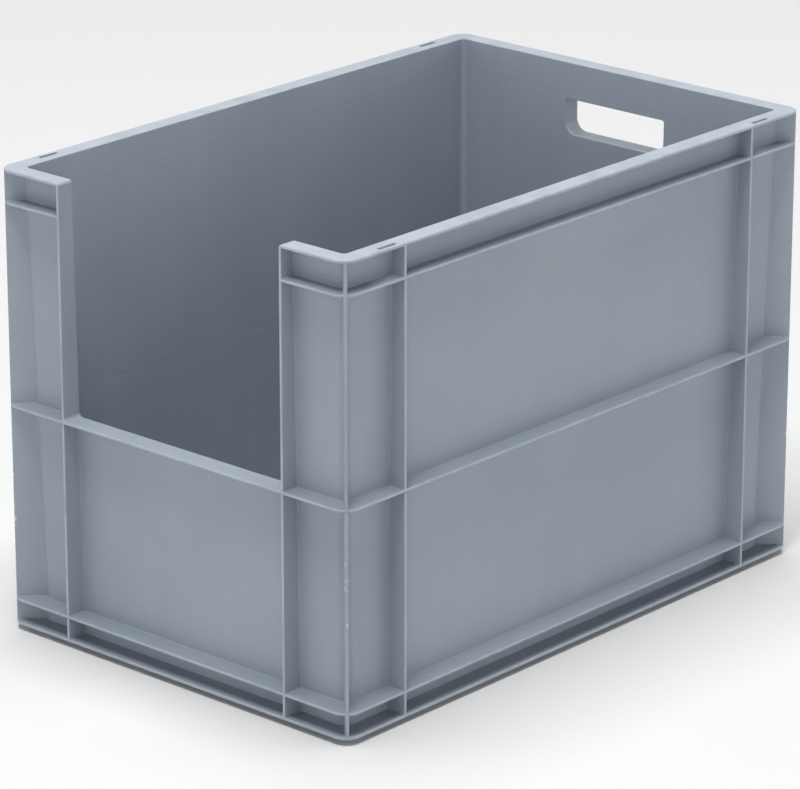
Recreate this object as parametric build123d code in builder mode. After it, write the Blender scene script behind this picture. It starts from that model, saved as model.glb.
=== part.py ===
from build123d import *
import os

# Open-fronted Euro stacking crate: 600 x 400 mm footprint, 420 mm high.
#
# It is two grey polypropylene mouldings, hot-plate welded to each other all round at the
# underside of the middle rib: a lower box, and an upper frame whose front wall is left
# open so that goods can be picked out of a stack. Nothing on it folds, slides or turns.
#
# Frame: X is the width, Y the length, Z up, in millimetres. The pick opening is in the
# short wall at -Y. The origin is the centre of the footprint, on the ground.

os.makedirs("parts", exist_ok=True)

# ---- Driving dimensions -------------------------------------------------------------

WIDTH = 400.0
LENGTH = 600.0
HEIGHT = 420.0

# Heights above the ground
FLANGE_UNDERSIDE = 5.0  # rests on the rim of the crate underneath
FLOOR_UNDERSIDE = 9.5
LATTICE_UNDERSIDE = 1.5
LOW_RIB_Z = 28.0  # centre of each horizontal rib
SILL_Z = 208.2  # top of the middle rib, and the sill of the pick opening
HIGH_RIB_Z = 390.0

# Thicknesses
WALL = 2.6
FLOOR = 3.0
RIM = 2.8
FLANGE = 2.8
SHELF = 2.4  # horizontal ribs
UPRIGHT = 2.6  # vertical ribs
CORNER_FIN = 3.2
LATTICE = 2.0

# The walls stand back from the envelope and lean inwards towards the floor
WALL_INSET_AT_RIM = 14.3
WALL_DRAFT = 0.0125  # millimetres of inset for each millimetre down
WALL_CORNER_AT_RIM = 6.4  # outer corner radius of the walls
WALL_CORNER_GROWTH = 0.0135
FLOOR_FILLET = 4.0

# The rim, the flange and all the ribs stand out from the walls to the same outline
OUTLINE_CORNER = 14.0
RIM_EDGE_RADIUS = 1.2

# The foot is narrower: distance in from the envelope, corner radius
FOOT_INSET = 18.6  # clears the inside of the rim underneath
FOOT_CORNER = 11.0

# Vertical ribs: distance from the envelope's end to the rib's centre
UPRIGHT_FROM_CORNER = 72.0
FIN_LENGTH = 36.0  # from past the ribs' outline to inside the wall's corner

# Pick opening between the two front posts
OPENING_HALF_WIDTH = 126.7
SILL_FILLET = 4.0
POST_TOP_RADIUS = 2.8  # rounds the rim's full thickness

# Hand hole in the rear wall, with a tunnel around it out to the rib plane
HAND_HOLE_WIDTH = 115.0
HAND_HOLE_BOTTOM = 352.0
HAND_HOLE_TOP = 385.5
HAND_HOLE_BOTTOM_RADIUS = 12.0
HAND_HOLE_TOP_RADIUS = 2.5
TUNNEL_WALL = 2.6

# Slots through the long sides of the rim
SLOT_WIDTH = 4.0
SLOT_LENGTH = 21.0
SLOT_FROM_SIDE = 5.5
SLOT_FROM_END = 55.0

# Stiffening lattice under the floor
LATTICE_ROWS = 9  # ribs across the width
LATTICE_COLUMNS = 5  # ribs along the length

OVERRUN = 1.0  # how far a cutting tool runs past the face that it cuts

# ---- Sizes worked out from them -----------------------------------------------------

FLOOR_TOP = FLOOR_UNDERSIDE + FLOOR
WELD_Z = SILL_Z - SHELF  # underside of the middle rib
UPRIGHT_X = WIDTH / 2 - UPRIGHT_FROM_CORNER
UPRIGHT_Y = LENGTH / 2 - UPRIGHT_FROM_CORNER
ROOT_TWO = 2**0.5


def wall_inset(z):
    """How far the outside of the walls stands in from the envelope at height z."""
    return WALL_INSET_AT_RIM + WALL_DRAFT * (HEIGHT - z)


def wall_corner(z):
    """Outer corner radius of the walls at height z."""
    return WALL_CORNER_AT_RIM + WALL_CORNER_GROWTH * (HEIGHT - z)


def footprint(z, inset, corner):
    """Rounded rectangle at height z, standing in from the envelope by inset."""
    with BuildSketch(Plane.XY.offset(z)) as outline:
        RectangleRounded(WIDTH - 2 * inset, LENGTH - 2 * inset, corner)
    return outline.sketch


def plate(bottom, thickness, inset=0.0, corner=OUTLINE_CORNER, mode=Mode.ADD):
    """Flat rounded plate that reaches out to inset from the envelope."""
    extrude(footprint(bottom, inset, corner), amount=thickness, mode=mode)


def drafted_block(bottom, top, skin=0.0):
    """Solid block between the leaning walls; skin is how far inside the outer face."""
    sections = [footprint(z, wall_inset(z) + skin, wall_corner(z) - skin) for z in (bottom, top)]
    loft(sections, ruled=True)


def uprights(bottom, top):
    """Vertical ribs of all four walls and the diagonal fin at each corner.

    They end on the same outline as the horizontal ribs. Inwards they run right across
    the block here, and the cavity takes their middles away.
    """
    fin_centre = FIN_LENGTH / 2 / ROOT_TWO
    with BuildSketch(Plane.XY.offset(bottom)) as plan:
        with GridLocations(2 * UPRIGHT_X, 0, 2, 1):
            Rectangle(UPRIGHT, LENGTH)
        with GridLocations(0, 2 * UPRIGHT_Y, 1, 2):
            Rectangle(WIDTH, UPRIGHT)
        for side in (-1, 1):
            for end in (-1, 1):
                with Locations((side * (WIDTH / 2 - fin_centre), end * (LENGTH / 2 - fin_centre))):
                    Rectangle(FIN_LENGTH, CORNER_FIN, rotation=45 * side * end)
        RectangleRounded(WIDTH, LENGTH, OUTLINE_CORNER, mode=Mode.INTERSECT)
    extrude(plan.sketch, amount=top - bottom)


def hand_hole_outline(top, margin=0.0, top_radius=0.0):
    """Upright sketch of the hand hole, or of its tunnel, round at the bottom corners."""
    bottom = HAND_HOLE_BOTTOM - margin
    with BuildSketch(Plane.XZ.offset(-LENGTH / 2)) as outline:
        with Locations((0, (top + bottom) / 2)):
            Rectangle(HAND_HOLE_WIDTH + 2 * margin, top - bottom)
        fillet(outline.vertices().group_by(Axis.Y)[0], HAND_HOLE_BOTTOM_RADIUS + margin)
        if top_radius:
            fillet(outline.vertices().group_by(Axis.Y)[-1], top_radius)
    return outline.sketch


# ---- Cutting tools ------------------------------------------------------------------

# Inside of the crate, with a rounded join between the walls and the floor
with BuildPart() as cavity:
    drafted_block(FLOOR_TOP, HEIGHT + OVERRUN, skin=WALL)
    fillet(cavity.edges().group_by(Axis.Z)[0], FLOOR_FILLET)

# Pick opening: rounded into the sill at the bottom and over the post tops
with BuildPart() as pick_opening:
    with BuildSketch(Plane.XZ.offset(LENGTH / 2 + OVERRUN)) as opening_outline:
        with Locations((0, (SILL_Z + HEIGHT + OVERRUN) / 2)):
            Rectangle(2 * OPENING_HALF_WIDTH, HEIGHT + OVERRUN - SILL_Z)
        fillet(opening_outline.vertices().group_by(Axis.Y)[0], SILL_FILLET)
        with Locations((0, HEIGHT - POST_TOP_RADIUS)):
            Rectangle(
                2 * (OPENING_HALF_WIDTH + POST_TOP_RADIUS),
                POST_TOP_RADIUS + OVERRUN,
                align=(Align.CENTER, Align.MIN),
            )
        with Locations((0, HEIGHT - POST_TOP_RADIUS)):
            with GridLocations(2 * (OPENING_HALF_WIDTH + POST_TOP_RADIUS), 0, 2, 1):
                Circle(POST_TOP_RADIUS, mode=Mode.SUBTRACT)
    extrude(amount=-(wall_inset(SILL_Z) + WALL + 2 * OVERRUN))

# ---- Lower box ----------------------------------------------------------------------

with BuildPart() as lower_box:
    # Walls down to the foot, with the stacking flange and the low rib around them
    drafted_block(FLANGE_UNDERSIDE, WELD_Z)
    plate(FLANGE_UNDERSIDE, FLANGE)
    plate(LOW_RIB_Z - SHELF / 2, SHELF)
    uprights(FLANGE_UNDERSIDE, WELD_Z)

    # Foot that drops inside the rim of the crate underneath
    plate(0, FLANGE_UNDERSIDE, FOOT_INSET, FOOT_CORNER)

    add(cavity.part, mode=Mode.SUBTRACT)

    # Hollow under the floor, and the lattice in it
    under_inset = FOOT_INSET + WALL
    under_corner = FOOT_CORNER - WALL
    plate(0, FLOOR_UNDERSIDE, under_inset, under_corner, mode=Mode.SUBTRACT)
    under_width = WIDTH - 2 * under_inset
    under_length = LENGTH - 2 * under_inset
    with BuildSketch(Plane.XY.offset(LATTICE_UNDERSIDE)):
        with GridLocations(0, under_length / (LATTICE_ROWS + 1), 1, LATTICE_ROWS):
            Rectangle(under_width + WALL, LATTICE)
        with GridLocations(under_width / (LATTICE_COLUMNS + 1), 0, LATTICE_COLUMNS, 1):
            Rectangle(LATTICE, under_length + WALL)
    extrude(amount=FLOOR_UNDERSIDE - LATTICE_UNDERSIDE)

lower_box.part.label = "lower_box"
export_step(lower_box.part, "parts/lower_box.step")

# ---- Upper frame --------------------------------------------------------------------

with BuildPart() as upper_frame:
    # Rim first, with its outer top edge rounded
    plate(HEIGHT - RIM, RIM)
    fillet(upper_frame.edges().group_by(Axis.Z)[-1], RIM_EDGE_RADIUS)

    drafted_block(WELD_Z, HEIGHT)
    plate(WELD_Z, SHELF)
    plate(HIGH_RIB_Z - SHELF / 2, SHELF)
    uprights(WELD_Z, HEIGHT - RIM)

    # Tunnel around the hand hole, hanging from the high rib
    extrude(hand_hole_outline(HIGH_RIB_Z, TUNNEL_WALL), amount=wall_inset(HAND_HOLE_BOTTOM) + WALL)

    # Corners between the sill and the posts, which the pick opening then rounds
    with BuildSketch(Plane.XZ.offset(LENGTH / 2)):
        with Locations((0, SILL_Z + SILL_FILLET / 2)):
            with GridLocations(2 * OPENING_HALF_WIDTH - SILL_FILLET, 0, 2, 1):
                Rectangle(SILL_FILLET, SILL_FILLET)
    extrude(amount=-wall_inset(SILL_Z) - WALL)

    add(cavity.part, mode=Mode.SUBTRACT)
    add(pick_opening.part, mode=Mode.SUBTRACT)

    extrude(
        hand_hole_outline(HAND_HOLE_TOP, top_radius=HAND_HOLE_TOP_RADIUS),
        amount=wall_inset(HAND_HOLE_BOTTOM) + WALL + OVERRUN,
        mode=Mode.SUBTRACT,
    )

    with BuildSketch(Plane.XY.offset(HEIGHT - RIM)):
        with GridLocations(WIDTH - 2 * SLOT_FROM_SIDE, LENGTH - 2 * SLOT_FROM_END, 2, 2):
            Rectangle(SLOT_WIDTH, SLOT_LENGTH)
    extrude(amount=RIM, mode=Mode.SUBTRACT)

upper_frame.part.label = "upper_frame"
export_step(upper_frame.part, "parts/upper_frame.step")
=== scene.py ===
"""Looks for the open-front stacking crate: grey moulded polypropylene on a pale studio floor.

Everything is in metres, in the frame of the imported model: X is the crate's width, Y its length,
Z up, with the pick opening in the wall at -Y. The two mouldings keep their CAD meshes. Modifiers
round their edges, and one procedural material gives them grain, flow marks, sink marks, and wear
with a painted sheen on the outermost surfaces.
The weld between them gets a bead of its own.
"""

import math

import bpy
from mathutils import Matrix, Vector, noise


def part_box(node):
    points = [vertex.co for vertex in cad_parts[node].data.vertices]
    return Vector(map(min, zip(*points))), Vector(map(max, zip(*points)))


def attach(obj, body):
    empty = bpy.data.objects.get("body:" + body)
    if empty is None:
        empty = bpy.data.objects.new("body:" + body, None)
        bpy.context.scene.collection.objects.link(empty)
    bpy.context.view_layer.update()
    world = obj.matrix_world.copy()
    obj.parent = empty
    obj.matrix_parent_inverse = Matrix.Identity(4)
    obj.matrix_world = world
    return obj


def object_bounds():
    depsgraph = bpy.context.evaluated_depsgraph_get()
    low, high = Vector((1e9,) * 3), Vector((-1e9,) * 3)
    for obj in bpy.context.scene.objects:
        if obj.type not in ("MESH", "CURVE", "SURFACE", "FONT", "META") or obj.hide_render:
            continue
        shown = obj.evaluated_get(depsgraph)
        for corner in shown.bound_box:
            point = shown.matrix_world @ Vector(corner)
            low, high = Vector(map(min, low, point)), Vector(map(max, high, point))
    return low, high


MM = 0.001

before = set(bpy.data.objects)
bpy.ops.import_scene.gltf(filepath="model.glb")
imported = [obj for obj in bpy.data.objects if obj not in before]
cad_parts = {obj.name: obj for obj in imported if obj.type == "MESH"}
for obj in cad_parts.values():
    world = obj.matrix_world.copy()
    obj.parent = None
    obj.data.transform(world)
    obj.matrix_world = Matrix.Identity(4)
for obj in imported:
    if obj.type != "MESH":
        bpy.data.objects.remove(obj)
cad_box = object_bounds()

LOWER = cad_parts["lower_box"]
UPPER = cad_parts["upper_frame"]

# ---- Places, from the frame -----------------------------------------------------------

HALF_WIDTH = cad_box[1].x
HALF_LENGTH = cad_box[1].y
HEIGHT = cad_box[1].z
CENTRE = Vector((0, 0, HEIGHT / 2))
WELD_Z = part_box("lower_box")[1].z

# Ribs, walls and floor, as the CAD has them
RIB_HEIGHTS = (28.0 * MM, 207.0 * MM, 390.0 * MM)
UPRIGHT_FROM_END = 72.0 * MM
WALL_MIDDLE_INSET = 15.6 * MM  # at the rim, from the envelope to the middle of the wall
WALL_DRAFT = 0.0125
INNER_CORNER_AT_WELD = 6.7 * MM
FLOOR_TOP = 12.5 * MM
LATTICE_INSET = 21.2 * MM
LATTICE_ROWS = 9
LATTICE_COLUMNS = 5

# ---- Settings -------------------------------------------------------------------------

# Linear colours
GREY_DEEP = (0.250, 0.290, 0.341)
GREY_PALE = (0.288, 0.328, 0.377)
# The lighter grey of wear and scuffs, also painted on the rim top and outer edges as a sheen of
# light
WORN_AND_SHEEN = (0.400, 0.438, 0.490)
SCRATCHED = (0.56, 0.58, 0.60)

# Noise scales: a bigger number is a finer pattern
CLOUD_SCALE = 7.0
STREAK_SCALES = (60.0, 60.0, 5.0)  # long streaks that run up the walls
SPECKLE_SCALE = 1400.0
WEAR_AND_SHEEN_SCALE = 45.0
KNOCK_SCALE = 190.0
SCUFF_SCALES = (35.0, 35.0, 900.0)  # short level lines
GRAIN_SCALE = 1300.0
WAVE_SCALE = 13.0

# How much of each noise is in the pigment's shade
CLOUD_SHARE = 0.55
STREAK_SHARE = 0.25
SPECKLE_SHARE = 0.20

# Wear and painted sheen: how near the outermost surface it starts and is full, and how strong it
# gets
WEAR_AND_SHEEN_STARTS = 1.0 * MM
WEAR_AND_SHEEN_FULL = 0.3 * MM
WEAR_AND_SHEEN_LEAST = 0.15
WEAR_AND_SHEEN_MOST = 0.55
KNOCK_STRENGTH = 0.75
SCUFF_STRENGTH = 0.18

# Knocks are on the corner fins' tips, between these heights, and fade out over the gaps
FIN_TIP_INSET = 6.5 * MM
KNOCKS_FADE_IN = (50 * MM, 80 * MM)
KNOCKS_FADE_OUT = (140 * MM, 190 * MM)

# Gloss
ROUGHNESS_LEAST = 0.42
ROUGHNESS_MOST = 0.54
ROUGHNESS_OF_WEAR = 0.08
POLYPROPYLENE_IOR = 1.49

# Height of the surface detail, and how far either side of a rib its sink mark reaches
GRAIN_HEIGHT = 0.010 * MM
WAVE_HEIGHT = 0.45 * MM
SINK_DEPTH = 0.06 * MM
LATTICE_DEPTH = 0.05 * MM
SINK_REACH = 3.2 * MM

# Moulded edges
EDGE_ANGLE = math.radians(32)
FLAT_ANGLE = math.radians(0.5)
EDGE_RADIUS = 0.7 * MM
EDGE_SEGMENTS = 3
EDGE_NORMAL_WEIGHT = 80
MERGE_DISTANCE = 0.005 * MM

# Bead of plastic that the hot-plate weld squeezed out on the inside
BEAD_RADIUS = 0.4 * MM
BEAD_UNEVENNESS = 0.12 * MM
BEAD_STEP = 1.5 * MM
BEAD_SIDES = 5
BEAD_SUNK = 0.38 * MM
BEAD_WOBBLE_SCALES = (70, 310)  # slow and fast changes of its radius
BEAD_RISE_SCALE = 45

# Studio walls: how bright they are, and the elevations where their light starts to fade and ends
WALL_LIGHT = 1.30
WALL_LIGHT_FULL = math.radians(14)
WALL_LIGHT_GONE = math.radians(48)

# Lamps: place, size and power
OVERHEAD = ((0, 0, 8.2), 5.7, 690)
KEY = ((0.54, -1.15, 2.93), 0.6, 26)

STUDIO_FLOOR_SIZE = 30
STUDIO_FLOOR_GREY = 0.68
STUDIO_FLOOR_ROUGHNESS = 0.9

# Camera
CAMERA_AZIMUTH = math.radians(41.74)
CAMERA_ELEVATION = math.radians(19.39)
CAMERA_DISTANCE = 4.0
CAMERA_ASIDE = -7.4 * MM
CAMERA_RISE = -24.6 * MM
CAMERA_LENS = 204.15


# ---- Node building --------------------------------------------------------------------


class Shading:
    """A material's nodes, built so that each line reads as one step of the recipe."""

    def __init__(self, name):
        self.material = bpy.data.materials.new(name)
        self.material.use_nodes = True
        self.tree = self.material.node_tree
        self.shader = self.tree.nodes["Principled BSDF"]

    def feed(self, socket, value):
        """Plugs in another node's output, or sets a plain value."""
        if isinstance(value, bpy.types.NodeSocket):
            self.tree.links.new(value, socket)
        else:
            socket.default_value = value

    def add(self, kind, inputs=(), **settings):
        node = self.tree.nodes.new(kind)
        for name, value in settings.items():
            setattr(node, name, value)
        for key, value in dict(inputs).items():
            self.feed(node.inputs[key], value)
        return node

    def math(self, operation, *values):
        node = self.add("ShaderNodeMath", operation=operation)
        for socket, value in zip(node.inputs, values):
            self.feed(socket, value)
        return node.outputs[0]

    def total(self, *values):
        result = values[0]
        for value in values[1:]:
            result = self.math("ADD", result, value)
        return result

    def remap(self, value, low, high, to_low=0.0, to_high=1.0, smooth=False):
        """Maps low..high onto to_low..to_high and holds it there beyond."""
        node = self.add("ShaderNodeMapRange", clamp=True)
        if smooth:
            node.interpolation_type = "SMOOTHSTEP"
        for socket, number in zip(node.inputs, (value, low, high, to_low, to_high)):
            self.feed(socket, number)
        return node.outputs[0]

    def noise(self, place, scale, detail=2.0):
        node = self.add("ShaderNodeTexNoise")
        self.feed(node.inputs["Vector"], place)
        node.inputs["Scale"].default_value = scale
        node.inputs["Detail"].default_value = detail
        return node.outputs["Fac"]

    def stretched(self, place, scale):
        """The same place, scaled by a different amount along each axis."""
        node = self.add("ShaderNodeMapping", vector_type="POINT")
        self.feed(node.inputs["Vector"], place)
        node.inputs["Scale"].default_value = scale
        return node.outputs[0]

    def blend(self, factor, first, second):
        node = self.add("ShaderNodeMix", data_type="RGBA")
        self.feed(node.inputs["Factor"], factor)
        self.feed(node.inputs["A"], (*first, 1) if isinstance(first, tuple) else first)
        self.feed(node.inputs["B"], (*second, 1) if isinstance(second, tuple) else second)
        return node.outputs["Result"]

    def groove(self, distance, width):
        """1 on a line, and falling away smoothly to 0 at the given distance either side."""
        return self.remap(self.math("ABSOLUTE", distance), 0.0, width, 1.0, 0.0, smooth=True)


# ---- Plastic --------------------------------------------------------------------------


def sink_marks(s, x, y, z, inside):
    """Shallow hollows where a wall or the floor has a rib on its far side."""
    marks = [s.groove(s.math("SUBTRACT", z, level), SINK_REACH) for level in RIB_HEIGHTS]
    for along, half in ((x, HALF_WIDTH), (y, HALF_LENGTH)):
        from_upright = s.math("SUBTRACT", s.math("ABSOLUTE", along), half - UPRIGHT_FROM_END)
        marks.append(s.groove(from_upright, SINK_REACH))
    above_floor = s.math("GREATER_THAN", z, FLOOR_TOP + 1 * MM)
    return s.math("MULTIPLY", s.math("MULTIPLY", s.total(*marks), above_floor), inside)


def floor_marks(s, x, y, z, inside):
    """The lattice under the floor, faintly read through its top."""
    marks = []
    for along, half, count in ((x, HALF_WIDTH, LATTICE_COLUMNS), (y, HALF_LENGTH, LATTICE_ROWS)):
        step = 2 * (half - LATTICE_INSET) / (count + 1)
        nearest = s.math("SNAP", s.math("ADD", along, step / 2), step)
        marks.append(s.groove(s.math("SUBTRACT", along, nearest), SINK_REACH))
    on_floor = s.math("LESS_THAN", z, FLOOR_TOP + 0.5 * MM)
    return s.math("MULTIPLY", s.math("MULTIPLY", s.total(*marks), on_floor), inside)


def plastic():
    s = Shading("grey_polypropylene")
    place = s.add("ShaderNodeTexCoord").outputs["Object"]
    x, y, z = s.add("ShaderNodeSeparateXYZ", {"Vector": place}).outputs
    across = s.math("ABSOLUTE", x)
    along = s.math("ABSOLUTE", y)

    # The cavity side of the leaning walls
    lean = s.math("MULTIPLY", s.math("SUBTRACT", HEIGHT, z), WALL_DRAFT)
    inner_x = s.math("LESS_THAN", s.math("ADD", across, lean), HALF_WIDTH - WALL_MIDDLE_INSET)
    inner_y = s.math("LESS_THAN", s.math("ADD", along, lean), HALF_LENGTH - WALL_MIDDLE_INSET)
    inside = s.math("MULTIPLY", inner_x, inner_y)

    # Pigment: cloudy, with streaks that run up the walls the way the plastic flowed
    cloud = s.noise(place, CLOUD_SCALE)
    streak = s.noise(s.stretched(place, STREAK_SCALES), 1.0)
    speckle = s.noise(place, SPECKLE_SCALE, detail=0.0)
    shade = s.total(
        s.math("MULTIPLY", cloud, CLOUD_SHARE),
        s.math("MULTIPLY", streak, STREAK_SHARE),
        s.math("MULTIPLY", speckle, SPECKLE_SHARE),
    )
    colour = s.blend(s.remap(shade, 0.35, 0.65), GREY_DEEP, GREY_PALE)

    # Wear and painted sheen: what stands furthest out rubs against other crates, and the rim top
    # and the outer edges are also painted lighter as if they caught the overhead light
    reach = s.math(
        "MAXIMUM",
        s.math("SUBTRACT", across, HALF_WIDTH),
        s.math("SUBTRACT", along, HALF_LENGTH),
    )
    reach = s.math("MAXIMUM", reach, s.math("SUBTRACT", z, HEIGHT))
    # Outermost surfaces, within a millimetre of the envelope: painted lighter for wear and for a
    # painted sheen
    rubbed_and_sheen = s.remap(reach, -WEAR_AND_SHEEN_STARTS, -WEAR_AND_SHEEN_FULL)
    patchy = s.remap(s.noise(place, WEAR_AND_SHEEN_SCALE), 0.30, 0.62, WEAR_AND_SHEEN_LEAST, WEAR_AND_SHEEN_MOST)
    colour = s.blend(s.math("MULTIPLY", rubbed_and_sheen, patchy), colour, WORN_AND_SHEEN)

    # Small knocks on the edges of the corner fins, low down
    corner = s.math(
        "MINIMUM",
        s.math("SUBTRACT", across, HALF_WIDTH),
        s.math("SUBTRACT", along, HALF_LENGTH),
    )
    on_fin = s.math("GREATER_THAN", corner, -FIN_TIP_INSET)
    above = s.remap(z, *KNOCKS_FADE_IN)
    below = s.remap(z, *KNOCKS_FADE_OUT, 1.0, 0.0)
    knock = s.remap(s.noise(place, KNOCK_SCALE, detail=1.0), 0.62, 0.68)
    knocks = s.math("MULTIPLY", s.math("MULTIPLY", knock, s.math("MULTIPLY", above, below)), on_fin)
    colour = s.blend(s.math("MULTIPLY", knocks, KNOCK_STRENGTH), colour, SCRATCHED)

    # Fine scuffs
    scuff_lines = s.noise(s.stretched(place, SCUFF_SCALES), 1.0, detail=1.0)
    scuffs = s.math("MULTIPLY", s.remap(scuff_lines, 0.62, 0.72), s.remap(cloud, 0.52, 0.66))
    colour = s.blend(s.math("MULTIPLY", scuffs, SCUFF_STRENGTH), colour, WORN_AND_SHEEN)
    s.feed(s.shader.inputs["Base Color"], colour)

    # Gloss: satin, duller where rubbed
    roughness = s.remap(streak, 0.3, 0.7, ROUGHNESS_LEAST, ROUGHNESS_MOST)
    roughness = s.math("ADD", roughness, s.math("MULTIPLY", rubbed_and_sheen, ROUGHNESS_OF_WEAR))
    s.feed(s.shader.inputs["Roughness"], roughness)
    s.shader.inputs["IOR"].default_value = POLYPROPYLENE_IOR

    # Height, in metres
    grain = s.math("MULTIPLY", s.noise(place, GRAIN_SCALE, detail=1.0), GRAIN_HEIGHT)
    waves = s.math("MULTIPLY", s.noise(place, WAVE_SCALE, detail=0.0), WAVE_HEIGHT)
    hollows = s.math("MULTIPLY", sink_marks(s, x, y, z, inside), -SINK_DEPTH)
    lattice = s.math("MULTIPLY", floor_marks(s, x, y, z, inside), -LATTICE_DEPTH)
    height = s.total(grain, waves, hollows, lattice)
    bump = s.add("ShaderNodeBump", {"Height": height, "Strength": 1.0, "Distance": 1.0})
    s.feed(s.shader.inputs["Normal"], bump.outputs["Normal"])
    return s.material


# ---- Geometry -------------------------------------------------------------------------


def round_edges(node):
    """Rounds a moulding's sharp edges the way a mould does, with its CAD mesh left alone.

    The bevel doesn't clamp, because then the shortest edge anywhere would limit it everywhere.
    """
    merge = node.modifiers.new("merge", "WELD")
    merge.merge_threshold = MERGE_DISTANCE
    flats = node.modifiers.new("flats", "DECIMATE")
    flats.decimate_type = "DISSOLVE"
    flats.angle_limit = FLAT_ANGLE
    bevel = node.modifiers.new("edges", "BEVEL")
    bevel.limit_method = "ANGLE"
    bevel.angle_limit = EDGE_ANGLE
    bevel.width = EDGE_RADIUS
    bevel.segments = EDGE_SEGMENTS
    bevel.use_clamp_overlap = False
    bevel.loop_slide = False
    normals = node.modifiers.new("normals", "WEIGHTED_NORMAL")
    normals.weight = EDGE_NORMAL_WEIGHT
    for polygon in node.data.polygons:
        polygon.use_smooth = True


def inner_wall(direction):
    """How far the inside of the wall is from the middle, just under the weld."""
    hit, place, _, _ = LOWER.ray_cast(Vector((0, 0, WELD_Z - 0.5 * MM)), Vector(direction))
    if not hit:
        raise RuntimeError("no wall beside the weld")
    return Vector((place.x, place.y)).length


def rounded_rectangle(half_x, half_y, corner, step):
    """Points round a rounded rectangle, evenly spaced, each with its outward direction."""
    points = []
    for turn in range(4):
        angle = math.pi / 2 * turn
        sign_x = 1 if turn in (0, 3) else -1
        sign_y = 1 if turn in (0, 1) else -1
        centre = Vector((sign_x * (half_x - corner), sign_y * (half_y - corner), 0))
        arc_steps = max(4, round(corner * math.pi / 2 / step))
        for k in range(arc_steps + 1):
            a = angle + math.pi / 2 * k / arc_steps
            out = Vector((math.cos(a), math.sin(a), 0))
            points.append((centre + out * corner, out))
        run = 2 * (half_y - corner) if turn in (1, 3) else 2 * (half_x - corner)
        start, out = points[-1]
        heading = Vector((-out.y, out.x, 0))
        run_steps = round(run / step)
        for k in range(1, run_steps):
            points.append((start + heading * run * k / run_steps, out))
    return points


def weld_bead(material):
    """The uneven bead that the weld left round the inside."""
    half_x = inner_wall((1, 0, 0))
    half_y = inner_wall((0, 1, 0))
    ring = rounded_rectangle(half_x, half_y, INNER_CORNER_AT_WELD, BEAD_STEP)
    vertices = []
    for place, out in ring:
        slow, fast = (noise.noise(place * scale) for scale in BEAD_WOBBLE_SCALES)
        radius = BEAD_RADIUS + BEAD_UNEVENNESS * (slow + 0.6 * fast)
        level = WELD_Z + 0.25 * BEAD_UNEVENNESS * noise.noise(place * BEAD_RISE_SCALE)
        for side in range(BEAD_SIDES):
            a = math.pi * side / (BEAD_SIDES - 1)
            inwards = radius * math.sin(a) - BEAD_SUNK
            vertices.append(place - out * inwards + Vector((0, 0, level + radius * math.cos(a))))
    count = len(ring)
    faces = []
    for k in range(count):
        here, there = k * BEAD_SIDES, (k + 1) % count * BEAD_SIDES
        for side in range(BEAD_SIDES):
            turn = (side + 1) % BEAD_SIDES
            faces.append((here + side, here + turn, there + turn, there + side))
    mesh = bpy.data.meshes.new("weld_bead")
    mesh.from_pydata(vertices, [], faces)
    mesh.validate()
    for polygon in mesh.polygons:
        polygon.use_smooth = True
    mesh.materials.append(material)
    bead = bpy.data.objects.new("weld_bead", mesh)
    bpy.context.scene.collection.objects.link(bead)
    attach(bead, "root")


# ---- Studio ---------------------------------------------------------------------------


def aim(thing, target):
    """Turns a light or camera, which look along their own -Z, towards a point."""
    thing.rotation_euler = (Vector(target) - thing.location).to_track_quat("-Z", "Y").to_euler()


def soft_light(name, place, size, power):
    light = bpy.data.lights.new(name, "AREA")
    light.shape = "SQUARE"
    light.size = size
    light.energy = power
    thing = bpy.data.objects.new(name, light)
    bpy.context.scene.collection.objects.link(thing)
    thing.location = place
    aim(thing, CENTRE)


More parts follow.
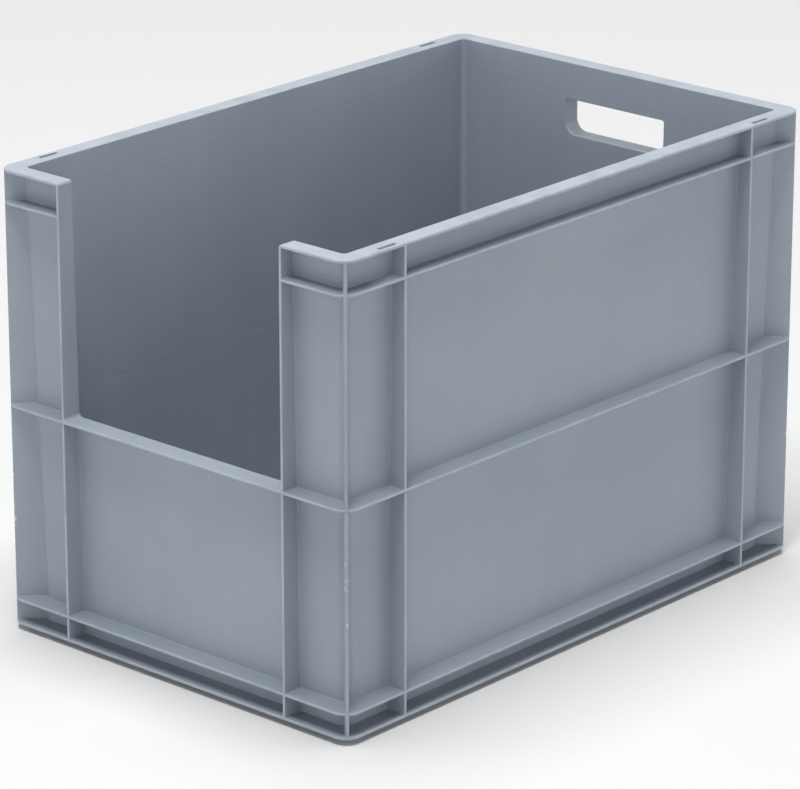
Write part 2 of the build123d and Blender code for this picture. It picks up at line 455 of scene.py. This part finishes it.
def bright_horizon(tree):
    """Light that comes from the studio's walls all round, and little from above them."""
    background = tree.nodes["Background"]
    direction = tree.nodes.new("ShaderNodeTexCoord").outputs["Generated"]
    split = tree.nodes.new("ShaderNodeSeparateXYZ")
    fade = tree.nodes.new("ShaderNodeMapRange")
    tree.links.new(direction, split.inputs["Vector"])
    tree.links.new(split.outputs["Z"], fade.inputs["Value"])
    fade.interpolation_type = "SMOOTHSTEP"
    fade.inputs["From Min"].default_value = math.sin(WALL_LIGHT_FULL)
    fade.inputs["From Max"].default_value = math.sin(WALL_LIGHT_GONE)
    fade.inputs["To Min"].default_value = WALL_LIGHT
    fade.inputs["To Max"].default_value = 0.0
    tree.links.new(fade.outputs["Result"], background.inputs["Strength"])
    background.inputs["Color"].default_value = (1, 1, 1, 1)


def studio():
    scene = bpy.context.scene
    scene.view_settings.view_transform = "Standard"

    world = bpy.data.worlds.new("studio")
    world.use_nodes = True
    bright_horizon(world.node_tree)
    scene.world = world

    bpy.ops.mesh.primitive_plane_add(size=STUDIO_FLOOR_SIZE, location=(0, 0, 0))
    floor = bpy.context.object
    floor.name = "floor"
    s = Shading("pale_floor")
    s.shader.inputs["Base Color"].default_value = (*[STUDIO_FLOOR_GREY] * 3, 1)
    s.shader.inputs["Roughness"].default_value = STUDIO_FLOOR_ROUGHNESS
    floor.data.materials.append(s.material)

    soft_light("overhead", *OVERHEAD)
    soft_light("key", *KEY)


def camera():
    a, e = CAMERA_AZIMUTH, CAMERA_ELEVATION
    back = Vector((math.sin(a) * math.cos(e), -math.cos(a) * math.cos(e), math.sin(e)))
    right = Vector((math.cos(a), math.sin(a), 0))
    up = back.cross(right)
    data = bpy.data.cameras.new("camera")
    data.lens = CAMERA_LENS
    data.clip_end = 100
    thing = bpy.data.objects.new("camera", data)
    bpy.context.scene.collection.objects.link(thing)
    place = CENTRE + back * CAMERA_DISTANCE + right * CAMERA_ASIDE + up * CAMERA_RISE
    thing.matrix_world = Matrix.Translation(place) @ Matrix((right, up, back)).transposed().to_4x4()
    bpy.context.scene.camera = thing


# ---- The crate ------------------------------------------------------------------------

grey_plastic = plastic()
for moulding in (LOWER, UPPER):
    round_edges(moulding)
    moulding.data.materials.clear()
    moulding.data.materials.append(grey_plastic)
weld_bead(grey_plastic)
studio()
camera()
